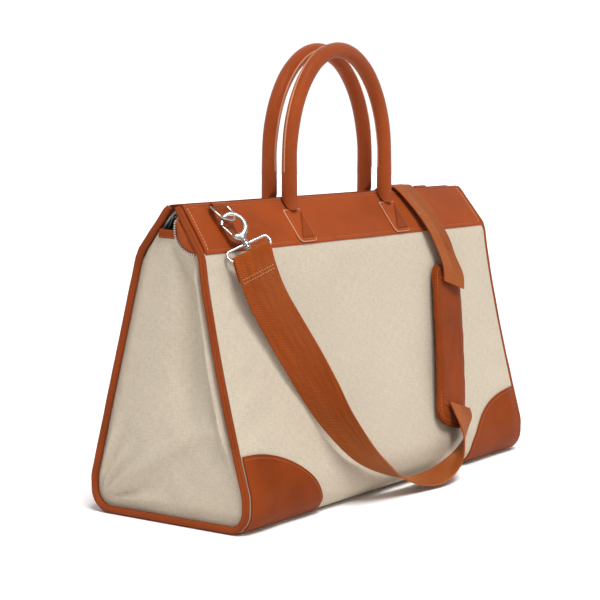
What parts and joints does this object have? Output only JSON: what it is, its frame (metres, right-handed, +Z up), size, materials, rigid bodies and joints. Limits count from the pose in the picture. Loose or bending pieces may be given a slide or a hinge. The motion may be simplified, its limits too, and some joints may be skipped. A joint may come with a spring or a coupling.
{
  "type": "doctor bag",
  "caption": "Canvas doctor bag with leather trim, hinged zip mouth on wire frames, rolled handles and a clip-on shoulder strap with a pad.",
  "frame": {"origin": "on the floor, straight below the middle of the mouth", "axes": "+X along the length towards the slider's end when the zip is closed, -Y to the front with the shoulder pad, +Z up"},
  "size_m": [0.5, 0.2596, 0.4393],
  "materials": {
    "canvas": "speckled plain weave",
    "leather": "pebbled, waxed",
    "webbing": "ribbed",
    "nickel": "polished",
    "steel": "plain",
    "zip_metal": "satin",
    "lining": "dark with a pale stripe",
    "board": "matt"
  },
  "bodies": {
    "bag_body": {"front_panel": "canvas", "back_panel": "canvas", "base_panel": "leather", "base_board": "board", "lining": "lining", "left_gusset": "canvas", "right_gusset": "canvas", "left_gusset_binding": "leather", "right_gusset_binding": "leather", "left_end_piping": "leather", "right_end_piping": "leather", "front_left_corner_patch": "leather", "front_right_corner_patch": "leather", "back_left_corner_patch": "leather", "back_right_corner_patch": "leather", "left_mouth_stay": "steel", "right_mouth_stay": "steel", "front_left_frame_rivet": "steel", "front_right_frame_rivet": "steel", "back_left_frame_rivet": "steel", "back_right_frame_rivet": "steel", "strap_front": "webbing", "strap_back": "webbing", "shoulder_pad": "leather", "strap_adjuster": "nickel"},
    "front_lip": {"front_frame": "steel", "front_band": "leather", "front_left_lip_piping": "leather", "front_right_lip_piping": "leather", "front_end_facing": "leather", "front_zip_teeth": "zip_metal", "front_zip_tape": "leather", "front_lip_lining": "lining", "front_left_handle_tab": "leather", "front_right_handle_tab": "leather", "front_chape": "leather"},
    "front_handle": {"front_handle": "leather"},
    "front_ring": {"front_d_ring": "nickel"},
    "front_hook": {"front_snap_hook": "nickel"},
    "front_gate": {"front_hook_gate": "nickel"},
    "front_loop": {"front_strap_loop": "nickel"},
    "back_lip": {"back_frame": "steel", "back_band": "leather", "back_left_lip_piping": "leather", "back_right_lip_piping": "leather", "back_zip_teeth": "zip_metal", "back_zip_tape": "leather", "back_lip_lining": "lining", "back_left_handle_tab": "leather", "back_right_handle_tab": "leather", "back_chape": "leather"},
    "back_handle": {"back_handle": "leather"},
    "back_ring": {"back_d_ring": "nickel"},
    "back_hook": {"back_snap_hook": "nickel"},
    "back_gate": {"back_hook_gate": "nickel"},
    "back_loop": {"back_strap_loop": "nickel"},
    "zip_slider": {"zip_slider": "zip_metal"},
    "zip_puller": {"zip_puller": "zip_metal"}
  },
  "joints": [
    {"name": "front_mouth", "type": "hinge", "parent": "bag_body", "child": "front_lip", "pos_m": [0, -0.03403, 0.2433], "axis": [1, 0, 0], "range_deg": [0, 30], "deforming": ["strap_front", "strap_back", "shoulder_pad"]},
    {"name": "front_handle_fold", "type": "hinge", "parent": "front_lip", "child": "front_handle", "pos_m": [-0.004, -0.02278, 0.27382], "axis": [1, 0, 0], "range_deg": [0, 90]},
    {"name": "front_ring_swing", "type": "hinge", "parent": "front_lip", "child": "front_ring", "pos_m": [-0.1985, -0.01633, 0.28685], "axis": [-1, 0, 0], "range_deg": [0, 20]},
    {"name": "front_hook_swing", "type": "hinge", "parent": "front_ring", "child": "front_hook", "pos_m": [-0.1985, -0.03175, 0.27491], "axis": [-1, 0, 0], "range_deg": [0, 15]},
    {"name": "front_hook_swivel", "type": "hinge", "parent": "front_hook", "child": "front_loop", "pos_m": [-0.2031, -0.0515, 0.2543], "axis": [0.075, 0.6853, 0.7244], "range_deg": [0, 40]},
    {"name": "front_gate_spring", "type": "hinge", "parent": "front_hook", "child": "front_gate", "pos_m": [-0.2073, -0.03788, 0.26256], "axis": [0.6179, 0.5382, -0.5732], "range_deg": [0, 22], "stiffness_Nm_per_rad": 0.02, "springref_deg": -11.46},
    {"name": "back_mouth", "type": "hinge", "parent": "bag_body", "child": "back_lip", "pos_m": [0, 0.03403, 0.2433], "axis": [-1, 0, 0], "range_deg": [0, 26], "deforming": ["strap_back"]},
    {"name": "back_handle_fold", "type": "hinge", "parent": "back_lip", "child": "back_handle", "pos_m": [0.004, 0.02278, 0.27382], "axis": [-1, 0, 0], "range_deg": [0, 90]},
    {"name": "back_ring_swing", "type": "hinge", "parent": "back_lip", "child": "back_ring", "pos_m": [0.1985, 0.01633, 0.28685], "axis": [1, 0, 0], "range_deg": [0, 20]},
    {"name": "back_hook_swing", "type": "hinge", "parent": "back_ring", "child": "back_hook", "pos_m": [0.1985, 0.03175, 0.27491], "axis": [1, 0, 0], "range_deg": [0, 15]},
    {"name": "back_hook_swivel", "type": "hinge", "parent": "back_hook", "child": "back_loop", "pos_m": [0.2031, 0.0515, 0.2543], "axis": [-0.075, -0.6853, 0.7244], "range_deg": [0, 40]},
    {"name": "back_gate_spring", "type": "hinge", "parent": "back_hook", "child": "back_gate", "pos_m": [0.2073, 0.03788, 0.26256], "axis": [-0.6179, -0.5382, -0.5732], "range_deg": [0, 22], "stiffness_Nm_per_rad": 0.02, "springref_deg": -11.46},
    {"name": "zip_travel", "type": "slide", "parent": "back_lip", "child": "zip_slider", "axis": [-1, 0, 0], "range_m": [0, 0.44]},
    {"name": "puller_flip", "type": "hinge", "parent": "zip_slider", "child": "zip_puller", "pos_m": [0.226, 0, 0.2818], "axis": [0, 1, 0], "range_deg": [0, 150]}
  ]
}
